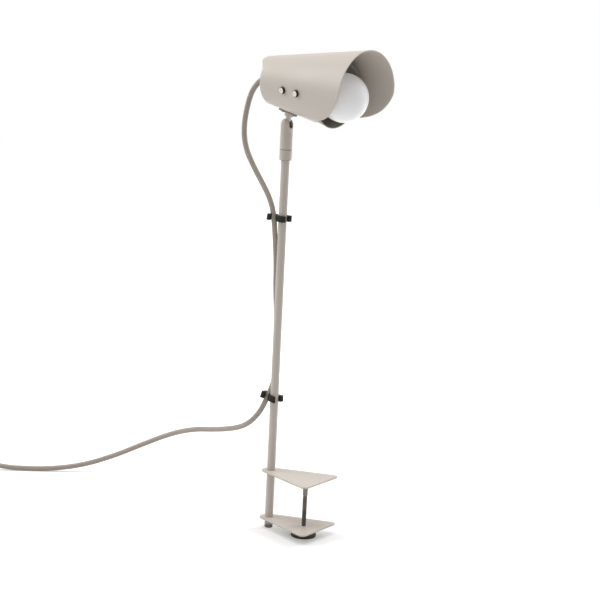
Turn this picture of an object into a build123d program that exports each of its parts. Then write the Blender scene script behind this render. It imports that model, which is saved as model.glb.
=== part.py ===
# Screw-clamp reading lamp: a conical sheet hood on a ball swivel, a thin post and a clamp of two plates.
# Millimetres, +Z up. The origin is on the clamp screw's axis at the underside of the upper plate, which
# is the face that rests on the table top. +X runs along the plates towards their wide end.
# Everything is drawn about the post's axis and moved by the screw's reach as it is saved.
import os
from math import acos, atan, cos, degrees, pi, radians, sin, sqrt, tan

from build123d import *

os.makedirs("parts", exist_ok=True)

# General fits. Cuts run past what they cut by the overrun.
overrun = 4.0
seat_gap = 0.03
turning_fit = 0.05
hole_play = 0.15
tiny_edge = 0.4

# Clamp
plate_thickness = 2.0
clamp_gap = 60.0
plate_reach = 80.0
plate_half_width = 37.0
plate_nose_radius = 11.9
plate_corner_radius = 6.0
screw_reach = 54.5
stand_drop = 74.0

# Post and its head fittings
post_radius = 5.3
post_wall = 1.0
ball_height = 443.5
ball_radius = 5.3
# How far below the ball's centre the post and its fittings sit
post_drop = 18.5
collar_drop = 43.2
seat_bottom_drop = 9.5
seat_top_drop = 3.0
collar_height = 13.0
collar_radius = 7.7
barrel_lift = 0.1
socket_radius = 5.4
barrel_mouth_radius = 4.2
slot_width = 7.2
post_top = ball_height - post_drop
collar_bottom = ball_height - collar_drop

# Head: the way it points, the hood's cone and the stack from the ball to the hood
head_yaw = -5.13
head_pitch = 2.01
hood_length = 144.0
hood_rear_radius = 30.6
hood_slope_share = 0.1605
hood_sheet = 1.0
stud_foot = 26.05
neck_radius = 3.25
neck_length = 11.5
flange_height = 5.0
flange_flats = 10.0
bracket_thickness = 1.8

# Inner cup and lamp
cup_setback = 30.0
cup_lift = 1.1
cup_tilt = 6.3
cup_length = 72.1
cup_rear_radius = 29.0
cup_front_radius = 40.0
cup_sheet = 1.0
globe_radius = 30.0
globe_place = 80.0
globe_neck_radius = 12.5
holder_radius = 19.0
holder_length = 40.0

# Cord and what is on it
cord_diameter = 6.8
cord_radius = cord_diameter / 2
upper_clip_drop = 115.5
lower_clip_height = 97.5
clip_heights = (ball_height - upper_clip_drop, lower_clip_height)
clip_cord_offset = 11.3
clip_direction = 195.0

floor_z = -stand_drop
lower_plate_top = -clamp_gap
lower_plate_bottom = lower_plate_top - plate_thickness


def turned(points, axis=Axis.Z):
    """A solid of revolution from a closed outline given as (radius, height) or (place, radius)."""
    plane = Plane.XZ if axis == Axis.Z else Plane.XY
    return revolve(plane * make_face(Polyline(*points, close=True)), axis)


def ring(outer, inner, bottom, top):
    """A plain tube about the Z axis."""
    return turned([(inner, bottom), (outer, bottom), (outer, top), (inner, top)])


def rod(radius, bottom, top):
    """A plain round bar about the Z axis."""
    return turned([(0, bottom), (radius, bottom), (radius, top), (0, top)])


def hex_bar(flats, bottom, top):
    """A six-sided bar about the Z axis, with two flats square to X."""
    hexagon = RegularPolygon(flats / 2, 6, major_radius=False, rotation=30)
    return extrude(Pos(0, 0, bottom) * hexagon, amount=top - bottom)


def save(node, *solids):
    """Writes one node, a single solid or a group of like solids."""
    shapes = []
    for solid in solids:
        shapes.extend((Pos(-screw_reach, 0, 0) * solid).solids())
    shape = shapes[0] if len(shapes) == 1 else Compound(children=shapes)
    shape.label = node
    export_step(shape, os.path.join("parts", node + ".step"))
    print(node, len(shapes), "solid(s), volume", round(sum(s.volume for s in shapes), 1))


# Clamp plates: a drop outline, narrow and round about the post and wide at the front.
plate_edge_round = 0.5
nut_body_radius = 4.5


def plate_outline():
    corner_x = plate_reach - plate_corner_radius
    corner_y = plate_half_width - plate_corner_radius
    nose = CenterArc((0, 0), plate_nose_radius, 0, 360)
    left = CenterArc((corner_x, corner_y), plate_corner_radius, 0, 360)
    right = CenterArc((corner_x, -corner_y), plate_corner_radius, 0, 360)
    return make_hull([nose, left, right])


def clamp_plate(bottom):
    plate = extrude(Pos(0, 0, bottom) * plate_outline(), amount=plate_thickness)
    plate = fillet(plate.edges(), plate_edge_round)
    post_hole = rod(post_radius + seat_gap, bottom - overrun, bottom + plate_thickness + overrun)
    return plate - post_hole


upper_plate = clamp_plate(0)
nut_hole = rod(nut_body_radius, lower_plate_bottom - overrun, lower_plate_top + overrun)
lower_plate = clamp_plate(lower_plate_bottom) - Pos(screw_reach, 0, 0) * nut_hole
save("upper_plate", upper_plate)
save("lower_plate", lower_plate)

# Press nut that carries the screw in the lower plate, with a thin flange underneath.
rod_radius = 2.9
thread_play = 0.08
nut_flange_radius = 5.6
nut_flange_thickness = 1.0

nut_outline = [
    (rod_radius + thread_play, lower_plate_bottom - nut_flange_thickness),
    (nut_flange_radius, lower_plate_bottom - nut_flange_thickness),
    (nut_flange_radius, lower_plate_bottom - seat_gap),
    (nut_body_radius - seat_gap, lower_plate_bottom - seat_gap),
    (nut_body_radius - seat_gap, lower_plate_top),
    (rod_radius + thread_play, lower_plate_top),
]
save("press_nut", Pos(screw_reach, 0, 0) * turned(nut_outline))

# Clamp screw: the threaded rod steps down to a smooth pin that turns in the pad's stem.
knob_radius = 16.0
knob_height = 9.8
knob_edge = 1.2
knob_floor = 2.5
knob_recess_radius = 12.0
knob_recess_depth = 0.8
pad_face_drop = 3.0
pad_disc_radius = 6.0
pad_disc_height = 6.0
stem_radius = 3.1
stem_length = 11.6
stem_bore_depth = 9.0
pin_radius = 2.0
pin_play = 0.1
groove_height = 0.8

pad_top = -pad_face_drop
pad_disc_bottom = pad_top - pad_disc_height
stem_bottom = pad_disc_bottom - stem_length
rod_shoulder = stem_bottom - groove_height
knob_top = floor_z + knob_height
rod_bottom = floor_z + knob_floor

rod_outline = [
    (0, rod_bottom),
    (rod_radius, rod_bottom),
    (rod_radius, rod_shoulder),
    (pin_radius, rod_shoulder),
    (pin_radius, stem_bottom + stem_bore_depth - pin_play),
    (0, stem_bottom + stem_bore_depth - pin_play),
]
save("screw_rod", Pos(screw_reach, 0, 0) * turned(rod_outline))

knob = rod(knob_radius, floor_z, knob_top)
knob = fillet(knob.edges(), knob_edge)
knob -= rod(knob_recess_radius, floor_z - overrun, floor_z + knob_recess_depth)
knob -= rod(rod_radius + seat_gap, rod_bottom - seat_gap, knob_top + overrun)
save("knob", Pos(screw_reach, 0, 0) * knob)

pad_outline = [
    (0, pad_top),
    (pad_disc_radius, pad_top),
    (pad_disc_radius, pad_disc_bottom),
    (stem_radius, pad_disc_bottom),
    (stem_radius, stem_bottom),
    (pin_radius + pin_play, stem_bottom),
    (pin_radius + pin_play, stem_bottom + stem_bore_depth),
    (0, stem_bottom + stem_bore_depth),
]
save("pad", Pos(screw_reach, 0, 0) * turned(pad_outline))

# Post: a thin tube through both plates, with a plug at its foot and a bush at its top.
cap_flange = 11.0
cap_edge = 0.8
cap_plug_length = 10.0
bush_flange = 2.0
bush_plug_length = 12.0

post_bottom = floor_z + cap_flange
post_bore = post_radius - post_wall
save("post", ring(post_radius, post_bore, post_bottom, post_top))

post_cap = rod(post_radius, floor_z, post_bottom - seat_gap)
post_cap = fillet(post_cap.edges().group_by(Axis.Z)[0], cap_edge)
post_cap += rod(post_bore - seat_gap, floor_z + cap_edge, post_bottom + cap_plug_length)
save("post_cap", post_cap)

post_bush = rod(post_bore - seat_gap, post_top - bush_plug_length, post_top + bush_flange)
post_bush += rod(socket_radius - turning_fit, post_top + seat_gap, post_top + bush_flange)
save("post_bush", post_bush)

# Collar: fixed on the post, it carries the turning barrel.
collar_top = collar_bottom + collar_height
collar = rod(collar_radius, collar_bottom, collar_top)
collar = fillet(collar.edges().filter_by(GeomType.CIRCLE), tiny_edge)
collar -= rod(post_radius + seat_gap, collar_bottom - overrun, collar_top + overrun)
save("collar", collar)

# Barrel: a domed socket that turns on the post. A drop slot in front lets the neck swing down.
barrel_bottom = collar_top + barrel_lift
dome_rise = 1.0
dome_height = ball_height + dome_rise
slot_radius = slot_width / 2


def arc_about(place, radius, start, end):
    """A circular arc in the working plane from its centre, radius and two angles in degrees."""
    angles = [radians(start), radians((start + end) / 2), radians(end)]
    return ThreePointArc(*[(place[0] + radius * cos(a), place[1] + radius * sin(a)) for a in angles])


def barrel_solid():
    mouth = barrel_mouth_radius
    dome_angle = degrees(acos(mouth / collar_radius))
    socket_angle = degrees(acos(mouth / socket_radius))
    dome = arc_about((0, dome_height), collar_radius, 0, dome_angle)
    socket = arc_about((0, ball_height), socket_radius, 0, socket_angle)
    edges = [
        Line((post_radius + turning_fit, barrel_bottom), (collar_radius, barrel_bottom)),
        Line((collar_radius, barrel_bottom), dome @ 0),
        dome,
        Line(dome @ 1, socket @ 1),
        socket,
        Line(socket @ 0, (socket_radius, post_top)),
        Line((socket_radius, post_top), (post_radius + turning_fit, post_top)),
        Line((post_radius + turning_fit, post_top), (post_radius + turning_fit, barrel_bottom)),
    ]
    body = revolve(Plane.XZ * make_face(edges), Axis.Z)
    slot = Circle(slot_radius) + Pos(0, collar_radius) * Rectangle(slot_width, collar_radius * 2)
    slot = extrude(Plane.YZ * slot, amount=collar_radius + overrun)
    return Rot(0, 0, head_yaw) * (body - Pos(0, 0, ball_height) * slot)


save("barrel", barrel_solid())

# Friction spring and the seat that it presses against the ball, inside the barrel.
seat_bottom = ball_height - seat_bottom_drop
seat_top = ball_height - seat_top_drop
spring_radius = 4.8
spring_wall = 1.2

spring_bottom = post_top + bush_flange + seat_gap
spring_top = seat_bottom - seat_gap
save("friction_spring", ring(spring_radius, spring_radius - spring_wall, spring_bottom, spring_top))
ball_seat = rod(socket_radius - turning_fit, seat_bottom, seat_top)
ball_seat -= Pos(0, 0, ball_height) * Sphere(ball_radius + turning_fit)
save("ball_seat", ball_seat)

# The head's own frame: X along the hood's axis from its rear rim, Z up, Y to its left.
yaw = radians(head_yaw)
pitch = radians(head_pitch)
forward = Vector(cos(pitch) * cos(yaw), cos(pitch) * sin(yaw), -sin(pitch))
upward = Vector(sin(pitch) * cos(yaw), sin(pitch) * sin(yaw), cos(pitch))
slope_length = sqrt(1 + hood_slope_share**2)
ball_to_hood = neck_length + flange_height + bracket_thickness


def hood_radius(place):
    """Outer radius of the hood's cone at a distance in front of its rear rim."""
    return hood_rear_radius + hood_slope_share * place


ball_place = stud_foot - ball_to_hood * hood_slope_share / slope_length
ball_drop = hood_radius(stud_foot) + ball_to_hood / slope_length
head_origin = Vector(0, 0, ball_height) - forward * ball_place + upward * ball_drop
head_plane = Plane(origin=head_origin, x_dir=forward, z_dir=upward)
head_place = head_plane.location


def out_plane(place, angle):
    """A plane on the hood's outer face: angle is from the top, Z points straight out of the sheet."""
    radius = hood_radius(place)
    side = sin(radians(angle))
    rise = cos(radians(angle))
    origin = (place, radius * side, radius * rise)
    return Plane(origin=origin, x_dir=(1, side * hood_slope_share, rise * hood_slope_share),
                 z_dir=(-hood_slope_share, side, rise))


def solid_cone(start, end, radius_start, radius_end):
    """A filled cone about the X axis."""
    return turned([(start, 0), (end, 0), (end, radius_end), (start, radius_start)], Axis.X)


# Ball stud: ball, neck and hex flange, with a spigot swaged into the bracket.
spigot_radius = 2.6
under_hood = out_plane(stud_foot, 180)


def ball_stud_solid():
    flange_low = bracket_thickness
    flange_high = flange_low + flange_height
    stud = Pos(0, 0, ball_to_hood) * Sphere(ball_radius)
    stud += rod(neck_radius, flange_high - tiny_edge, ball_to_hood)
    stud += hex_bar(flange_flats, flange_low + seat_gap, flange_high)
    stud += rod(spigot_radius, tiny_edge, flange_high)
    return under_hood.location * stud


save("ball_stud", head_place * ball_stud_solid())

# Bracket: a saddle plate under the hood, held by two screws whose nuts are inside the hood.
bracket_length = 27.0
bracket_width = 14.0
bracket_corner = 3.0
bracket_screw_pitch = 9.3
small_screw_radius = 1.5
small_head_radius = 2.75
small_head_height = 2.2
small_head_edge = 0.7
small_nut_flats = 5.5
small_nut_height = 2.4
small_tail = 0.8

hood_filled = solid_cone(
    -overrun, hood_length, hood_radius(-overrun) + seat_gap, hood_radius(hood_length) + seat_gap,
)


def bracket_solid():
    plate = extrude(RectangleRounded(bracket_length, bracket_width, bracket_corner), amount=bracket_thickness)
    plate += extrude(RectangleRounded(bracket_length, bracket_width, bracket_corner), amount=-hood_sheet * 2)
    plate -= rod(spigot_radius + seat_gap, -overrun, bracket_thickness + overrun)
    for side in (-1, 1):
        hole = rod(small_screw_radius + hole_play, -overrun, bracket_thickness + overrun)
        plate -= Pos(side * bracket_screw_pitch, 0, 0) * hole
    return under_hood.location * plate - hood_filled


def small_screw():
    head_low = bracket_thickness + seat_gap
    head = rod(small_head_radius, head_low, head_low + small_head_height)
    head = fillet(head.edges().group_by(Axis.Z)[-1], small_head_edge)
    inner = -(hood_sheet + small_nut_height + small_tail)
    return head + rod(small_screw_radius, inner, head_low + tiny_edge)


def small_nut(place):
    bottom = -hood_sheet - small_nut_height
    nut = hex_bar(small_nut_flats, bottom, 0)
    nut -= rod(small_screw_radius + seat_gap, bottom - overrun, overrun)
    return under_hood.location * Pos(place, 0, 0) * nut & hood_hollow


bracket_sides = (-bracket_screw_pitch, bracket_screw_pitch)
save("bracket_plate", head_place * bracket_solid())
bracket_place = head_place * under_hood.location
save("bracket_screws", *[bracket_place * Pos(x, 0, 0) * small_screw() for x in bracket_sides])

# Inner cup and lamp share an axis that points further down than the hood's.
cup_place = Location((cup_setback, 0, cup_lift), (0, cup_tilt, 0))


def cup_radius(place, extra):
    """Outer radius of the cup's cone, grown by extra."""
    return cup_rear_radius + (cup_front_radius - cup_rear_radius) * place / cup_length + extra


def cup_filled(extra):
    start = -overrun
    end = cup_length + overrun
    return cup_place * solid_cone(start, end, cup_radius(start, extra), cup_radius(end, extra))


# Side screws: two on each side, through the hood and a spacer into the cup, with nuts inside it.
side_screw_places = (43.8, 68.7)
side_screw_angle = 98.4
side_head_radius = 4.4
side_head_height = 3.0
side_head_edge = 1.4
side_key_flats = 3.0
side_key_depth = 1.6
side_screw_radius = 2.0
side_screw_length = 13.0
spacer_radius = 4.0
side_nut_flats = 7.0
side_nut_depth = 10.8

side_planes = [out_plane(s, a) for s in side_screw_places for a in (side_screw_angle, -side_screw_angle)]
hood_hollow = solid_cone(
    -overrun, hood_length,
    hood_radius(-overrun) - hood_sheet * slope_length - seat_gap,
    hood_radius(hood_length) - hood_sheet * slope_length - seat_gap,
)


def side_screw():
    head = rod(side_head_radius, seat_gap, side_head_height)
    head = fillet(head.edges().group_by(Axis.Z)[-1], side_head_edge)
    head -= hex_bar(side_key_flats, side_head_height - side_key_depth, side_head_height + overrun)
    return head + rod(side_screw_radius, -side_screw_length, seat_gap + tiny_edge)


def side_spacer(plane):
    tube = ring(spacer_radius, side_screw_radius + hole_play, -side_nut_depth, 0)
    return (plane.location * tube & hood_hollow) - cup_filled(seat_gap)


def side_nut(plane):
    nut = hex_bar(side_nut_flats, -side_nut_depth, 0)
    nut -= rod(side_screw_radius + seat_gap, -side_nut_depth - overrun, overrun)
    return plane.location * nut & cup_filled(-cup_sheet - seat_gap)


save("side_screws", *[head_place * p.location * side_screw() for p in side_planes])
save("side_spacers", *[head_place * side_spacer(p) for p in side_planes])
save("screw_nuts",
     *[head_place * side_nut(p) for p in side_planes],
     *[head_place * small_nut(x) for x in bracket_sides])

# Hood: a conical sheet. Its lower front is scooped away in side view and a rounded tongue
# carries the top back over the cord.
tongue_length = 11.0
tongue_root_half = 27.0
tongue_tip_half = 17.0
tongue_corner = 9.0
hood_front_radius = hood_radius(hood_length)
# The scoop's line in side view: shares of the hood's front radius, then of its length where the
# line lies on the right and on the left side, whose lower corner is a little fuller
scoop_height_shares = (
    0.32, 0.149, 0.02, -0.073, -0.167, -0.264, -0.36, -0.459, -0.53, -0.572, -0.61, -0.65, -0.697, -0.786, -0.84,
)
scoop_right_shares = (
    1.03, 1.0, 0.996, 0.987, 0.965, 0.939, 0.906, 0.863, 0.815, 0.777, 0.741, 0.692, 0.632, 0.51, 0.44,
)
scoop_left_shares = (
    1.03, 1.0, 0.996, 0.988, 0.975, 0.958, 0.938, 0.908, 0.875, 0.848, 0.803, 0.735, 0.65, 0.51, 0.44,
)


def scoop_face(place_shares, side):
    """The outline of what is cut away below, on one side of the hood."""
    shares = zip(place_shares, scoop_height_shares)
    line = Spline(*[(a * hood_length, b * hood_front_radius) for a, b in shares])
    low = -hood_front_radius * 2
    far_front = hood_length * 2
    outline = [
        line,
        Line(line @ 1, ((line @ 1).X, low)),
        Line(((line @ 1).X, low), (far_front, low)),
        Line((far_front, low), (far_front, (line @ 0).Y)),
        Line((far_front, (line @ 0).Y), line @ 0),
    ]
    return Pos(0, side * (hood_front_radius + overrun), 0) * (Plane.XZ * make_face(outline))


def hood_solid():
    wall = hood_sheet * slope_length
    start = -tongue_length
    end = hood_length
    shell = turned([
        (start, hood_radius(start) - wall), (end, hood_front_radius - wall),
        (end, hood_front_radius), (start, hood_radius(start)),
    ], Axis.X)
    tongue = Polyline(
        (overrun, -tongue_root_half), (0, -tongue_root_half), (-tongue_length, -tongue_tip_half),
        (-tongue_length, tongue_tip_half), (0, tongue_root_half), (overrun, tongue_root_half), close=True,
    )
    tongue = make_face(tongue)
    tips = tongue.vertices().sort_by(Axis.X)[:2]
    tongue = fillet(tips, tongue_corner)
    span = hood_front_radius * 2
    behind = Pos(-span / 2, 0, 0) * Box(span, span * 2, span * 2)
    shell -= behind - extrude(tongue, amount=span)
    shell -= loft([scoop_face(scoop_right_shares, -1), scoop_face(scoop_left_shares, 1)], ruled=True)
    for plane in side_planes:
        shell -= plane.location * rod(side_screw_radius + hole_play, -overrun, overrun)
    for x in bracket_sides:
        shell -= under_hood.location * Pos(x, 0, 0) * rod(small_screw_radius + hole_play, -overrun, overrun)
    return shell


save("hood", head_place * hood_solid())

# Inner cup: a thin cone with a closed back, where the lamp holder's nipple passes.
nipple_radius = 5.0


def cup_solid():
    cup = turned([
        (0, nipple_radius + seat_gap), (0, cup_rear_radius), (cup_length, cup_front_radius),
        (cup_length, cup_front_radius - cup_sheet),
        (cup_sheet, cup_radius(cup_sheet, -cup_sheet)), (cup_sheet, nipple_radius + seat_gap),
    ], Axis.X)
    cup = cup_place * cup
    for plane in side_planes:
        cup -= plane.location * rod(side_screw_radius + hole_play, -side_screw_length, overrun)
    return cup


save("inner_cup", head_place * cup_solid())

# Lamp holder: a round body with a socket for a large screw cap, a nipple behind and a centre contact.
holder_shoulder_radius = 15.0
holder_shoulder = 8.0
holder_base = 3.0
wire_hole_radius = 3.6
socket_bore = 13.3
contact_radius = 6.0
contact_bump_radius = 3.0
contact_thickness = 0.8
contact_top = 4.5

lamp_place = head_place * cup_place
holder_outline = [
    (0, wire_hole_radius), (0, nipple_radius), (cup_sheet + seat_gap, nipple_radius),
    (cup_sheet + seat_gap, holder_shoulder_radius), (holder_shoulder, holder_radius),
    (holder_length, holder_radius), (holder_length, socket_bore),
    (holder_base, socket_bore), (holder_base, wire_hole_radius),
]
save("lamp_holder", lamp_place * turned(holder_outline, Axis.X))
contact_outline = [
    (holder_base + seat_gap, 0), (holder_base + seat_gap, contact_radius),
    (holder_base + contact_thickness, contact_radius),
    (holder_base + contact_thickness, contact_bump_radius),
    (contact_top, contact_bump_radius), (contact_top, 0),
]
save("holder_contact", lamp_place * turned(contact_outline, Axis.X))

# Bulb: opal glass globe, large screw cap and a dark insulated base with the end contact.
cap_radius = 13.0
cap_skin = 0.4
cap_start = 8.5
cap_end = 31.5
base_radius = 7.5
base_back = 6.5
tip_radius = 4.5
tip_start = contact_top + seat_gap
globe_wall = 1.0
globe_neck_start = 24.0
globe_neck_end = 34.0
quarter_turn = 90.0

save("bulb_cap", lamp_place * turned([
    (cap_start, base_radius + seat_gap), (cap_start, cap_radius), (cap_end, cap_radius),
    (cap_end, cap_radius - cap_skin), (cap_start + cap_skin, cap_radius - cap_skin),
    (cap_start + cap_skin, base_radius + seat_gap),
], Axis.X))
save("bulb_base", lamp_place * turned([
    (tip_start, 0), (tip_start, tip_radius), (base_back, base_radius),
    (cap_start + cap_skin, base_radius), (cap_start + cap_skin, 0),
], Axis.X))

neck_gap = globe_place - globe_neck_end
neck_square = neck_gap**2 + globe_neck_radius**2 - globe_radius**2
neck_arc_radius = neck_square / (globe_radius - globe_neck_radius) / 2


def globe_solid():
    high = globe_neck_radius + neck_arc_radius
    turn = degrees(atan(neck_gap / high))
    outer_neck = arc_about((globe_neck_end, high), neck_arc_radius, -quarter_turn, turn - quarter_turn)
    outer_globe = arc_about((globe_place, 0), globe_radius, quarter_turn + turn, 0)
    inner_radius = neck_arc_radius + globe_wall
    inner_neck = arc_about((globe_neck_end, high), inner_radius, -quarter_turn, turn - quarter_turn)
    inner_globe = arc_about((globe_place, 0), globe_radius - globe_wall, quarter_turn + turn, 0)
    bore = globe_neck_radius - globe_wall
    edges = [
        Line((globe_neck_start, globe_neck_radius), outer_neck @ 0), outer_neck, outer_globe,
        Line(outer_globe @ 1, inner_globe @ 1), inner_globe, inner_neck,
        Line(inner_neck @ 0, (globe_neck_start, bore)),
        Line((globe_neck_start, bore), (globe_neck_start, globe_neck_radius)),
    ]
    return revolve(make_face(edges), Axis.X)


save("bulb_globe", lamp_place * globe_solid())

# Cord bushing: a tapered strain relief on the cup's axis, behind the cup's back.
bushing_root_radius = 7.0
bushing_end_radius = 4.6
bushing_length = 22.0

bushing_root = cup_place * Pos(-seat_gap, 0, 0) * (Plane.YZ * Circle(bushing_root_radius))
bushing_end = cup_place * Pos(-bushing_length, 0, 0) * (Plane.YZ * Circle(bushing_end_radius))
save("cord_bushing", head_place * loft([bushing_root, bushing_end]))

# Cord clips: black clips that snap on the post and hold the cord beside it.
clip_height = 8.5
clip_post_wall = 2.0
clip_cord_wall = 2.0
clip_post_mouth = 7.0
clip_cord_mouth = 4.2
post_mouth_direction = -10.0
cord_mouth_direction = 262.0


def cord_clip(height):
    post_ring = post_radius + clip_post_wall
    cord_ring = cord_radius + clip_cord_wall
    cord_spot = Rot(0, 0, clip_direction) * Pos(clip_cord_offset, 0, 0)
    cord_center = Pos(*cord_spot.position)
    shape = Circle(post_ring) + cord_center * Circle(cord_ring)
    shape -= Circle(post_radius + seat_gap)
    shape -= cord_center * Circle(cord_radius + hole_play)
    shape -= Rot(0, 0, post_mouth_direction) * Pos(post_ring, 0) * Rectangle(post_ring * 2, clip_post_mouth)
    mouth = Rot(0, 0, cord_mouth_direction) * Pos(cord_ring, 0) * Rectangle(cord_ring * 2, clip_cord_mouth)
    shape -= cord_center * mouth
    solid = extrude(Pos(0, 0, height - clip_height / 2) * shape, amount=clip_height)
    return solid


save("cord_clips", *[cord_clip(height) for height in clip_heights])

# Cord route: from the bushing round to the upper clip, beside the post to the lower clip,
# then out to the left and down to the surface that the lamp stands on. The two upper stretches
# are heights from the ball's centre, and the third has shares of the way between the clips.
head_from_ball = [
    (-13.1, 1.18, 56.88), (-24.79, 2.23, 58.59), (-40.71, 3.9, 55.15), (-54.58, 4.9, 43.96),
    (-63.92, 5.7, 27.58), (-67.62, 6.2, 10.13),
]
loop_from_ball = [
    (-67.645, 6.203, 10.01), (-71.57, 6.73, -8.53), (-65.94, 5.2, -35.56), (-50.25, 2.8, -57.32),
    (-33.29, 0.2, -76.59), (-20.79, -1.6, -90.96), (-13.0, -2.7, -104.5), (-11.0, -3.0, -115.5),
    (-10.9, -3.0, -125.5),
]
post_route_shares = [
    (-10.9, -3.0, 1.0), (-10.9, -2.7, 0.948), (-10.3, -0.3, 0.867), (-9.3, 3.6, 0.754), (-8.5, 5.6, 0.502),
    (-9.3, 3.6, 0.251), (-10.3, -0.3, 0.133), (-10.9, -2.7, 0.057), (-10.9, -3.0, 0),
]
lower_route = [
    (-10.9, -3.0, 107.0), (-11.0, -3.0, 95.8), (-13.6, -3.1, 85.5), (-19.8, -3.1, 75.2), (-29.4, -1.4, 64.5),
    (-44.1, 4.9, 53.2), (-66.5, 17.4, 42.0), (-96.7, 33.0, 31.0), (-135.0, 51.6, 19.5), (-176.8, 66.5, 9.2),
    (-222.0, 76.7, -7.0), (-267.3, 71.1, -30.0), (-304.2, 50.6, -51.0), (-338.2, 22.3, -65.5),
    (-369.9, -7.4, -70.6), (-398.4, -31.2, -70.6), (-415.2, -44.0, -69.6), (-425.6, -51.7, -67.4),
    (-434.6, -58.1, -67.0),
]
arc_share = 0.45
post_route_top = ball_height + loop_from_ball[-1][-1]
post_route_foot = lower_route[0][-1]
post_route_span = post_route_top - post_route_foot
head_route = [(x, y, ball_height + z) for x, y, z in head_from_ball]
loop_route = [(x, y, ball_height + z) for x, y, z in loop_from_ball]
post_route = [(x, y, post_route_foot + share * post_route_span) for x, y, share in post_route_shares]


def cord_tube(node, route):
    """A round cord along straight runs and tangent arcs, each as large as its runs allow."""
    points = [Vector(*p) for p in route]
    runs = [(b - a).length for a, b in zip(points, points[1:])]
    radii = []
    for i in range(1, len(points) - 1):
        turn = (points[i] - points[i - 1]).get_angle(points[i + 1] - points[i])
        radii.append(arc_share * min(runs[i - 1], runs[i]) / tan(radians(turn / 2)))
    path = FilletPolyline(*points, radius=radii)
    section = Plane(origin=path @ 0, z_dir=path % 0) * Circle(cord_radius)
    tube = sweep(section, path=path)
    print(node, "radii", [round(r, 1) for r in radii])
    print(node, "length", round(path.length, 1), "volume share",
          round(tube.volume / (pi * cord_radius**2 * path.length), 4))
    save(node, tube)


cord_tube("cord_head", head_route)
cord_tube("cord_loop", loop_route)
cord_tube("cord_post", post_route)
cord_tube("cord_lower", lower_route)

# Cord switch, lying on the surface: a base and a cover with a rocker on a pin.
switch_length = 58.0
switch_width = 22.0
switch_height = 14.0
switch_corner = 9.0
switch_edge = 2.0
switch_wall = 2.0
nozzle_length = 8.0
nozzle_root_radius = 5.6
nozzle_end_radius = 4.0
nozzle_drop = 7.0
parting_gap = 0.03
rocker_length = 15.0
rocker_width = 8.0
rocker_play = 0.5
rocker_end_play = 1.1
rocker_proud = 1.4
rocker_depth = 7.0
rocker_dish = 34.0
rocker_pin_radius = 1.0
rocker_pin_drop = 4.2
rocker_tilt = 8.0
pin_bite = 1.2

entry = Vector(*lower_route[-1])
heading = entry - Vector(*lower_route[-2])
heading = Vector(heading.X, heading.Y, 0).normalized()
lead_plane = Plane(origin=(entry.X, entry.Y, floor_z), x_dir=heading, z_dir=(0, 0, 1))
lead_place = lead_plane.location
switch_start = nozzle_length
switch_middle = switch_start + switch_length / 2
switch_end = switch_start + switch_length + nozzle_length
pin_spot = Pos(switch_middle, 0, switch_height - rocker_pin_drop)


def switch_block(grow):
    """The switch's closed outline, or with a negative value its hollow."""
    outline = RectangleRounded(switch_length + 2 * grow, switch_width + 2 * grow, switch_corner + grow)
    return extrude(Pos(switch_middle, 0, -grow) * outline, amount=switch_height + 2 * grow)


def switch_halves():
    body = fillet(switch_block(0).edges().filter_by(Plane.XY), switch_edge)
    root = Pos(switch_start + switch_wall / 2, 0, nozzle_drop) * (Plane.YZ * Circle(nozzle_root_radius))
    end = Pos(0, 0, nozzle_drop) * (Plane.YZ * Circle(nozzle_end_radius))
    nozzle = loft([end, root])
    far_nozzle = Pos(switch_middle, 0, 0) * Rot(0, 0, 180) * Pos(-switch_middle, 0, 0) * nozzle
    shell = body + nozzle + far_nozzle - switch_block(-switch_wall)
    middle = Pos(switch_middle, 0, 0)
    lower = middle * Pos(0, 0, nozzle_drop / 2) * Box(switch_length * 2, switch_width * 2, nozzle_drop)
    upper_height = switch_height - nozzle_drop + overrun
    upper = middle * Pos(0, 0, nozzle_drop + parting_gap + upper_height / 2)
    upper = upper * Box(switch_length * 2, switch_width * 2, upper_height)
    window = Box(rocker_length + 2 * rocker_end_play, rocker_width + 2 * rocker_play, switch_height)
    cover = (shell & upper) - Pos(switch_middle, 0, switch_height) * window
    ear = Box(rocker_length / 2, switch_wall, rocker_pin_drop + pin_bite * 2)
    ear_y = rocker_width / 2 + rocker_play + switch_wall / 2
    ear_z = switch_height - switch_wall - rocker_pin_drop / 2
    for side in (-1, 1):
        cover += Pos(switch_middle, side * ear_y, ear_z) * ear
    pin_hole = Rot(90, 0, 0) * Cylinder(rocker_pin_radius + seat_gap, switch_width)
    cover -= pin_spot * pin_hole & switch_block(-switch_wall)
    return shell & lower, cover


def rocker_solid():
    top = switch_height + rocker_proud
    block = Pos(switch_middle, 0, top - rocker_depth / 2) * Box(rocker_length, rocker_width, rocker_depth)
    dish = Pos(switch_middle, 0, top + rocker_dish - rocker_proud / 2)
    block -= dish * Rot(90, 0, 0) * Cylinder(rocker_dish, rocker_width + overrun)
    bore = Rot(90, 0, 0) * Cylinder(rocker_pin_radius + turning_fit, rocker_width + overrun)
    block -= pin_spot * bore
    return pin_spot * Rot(0, -rocker_tilt, 0) * pin_spot.inverse() * block


switch_base, switch_cover = switch_halves()
pin_length = rocker_width + 2 * rocker_play + 2 * pin_bite
rocker_pin = pin_spot * Rot(90, 0, 0) * Cylinder(rocker_pin_radius, pin_length)
save("switch_base", lead_place * switch_base)
save("switch_cover", lead_place * switch_cover)
save("switch_rocker", lead_place * rocker_solid())
save("rocker_pin", lead_place * rocker_pin)

# Cord from the switch down to the surface and into the put-away coil.
link_route = [(0.0, nozzle_drop), (10.0, 6.9), (21.0, 4.9), (32.0, 3.5), (42.0, cord_radius)]
link_points = [lead_place * Pos(switch_end + x, 0, z) for x, z in link_route]
cord_tube("cord_link", [tuple(p.position) for p in link_points])

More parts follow.
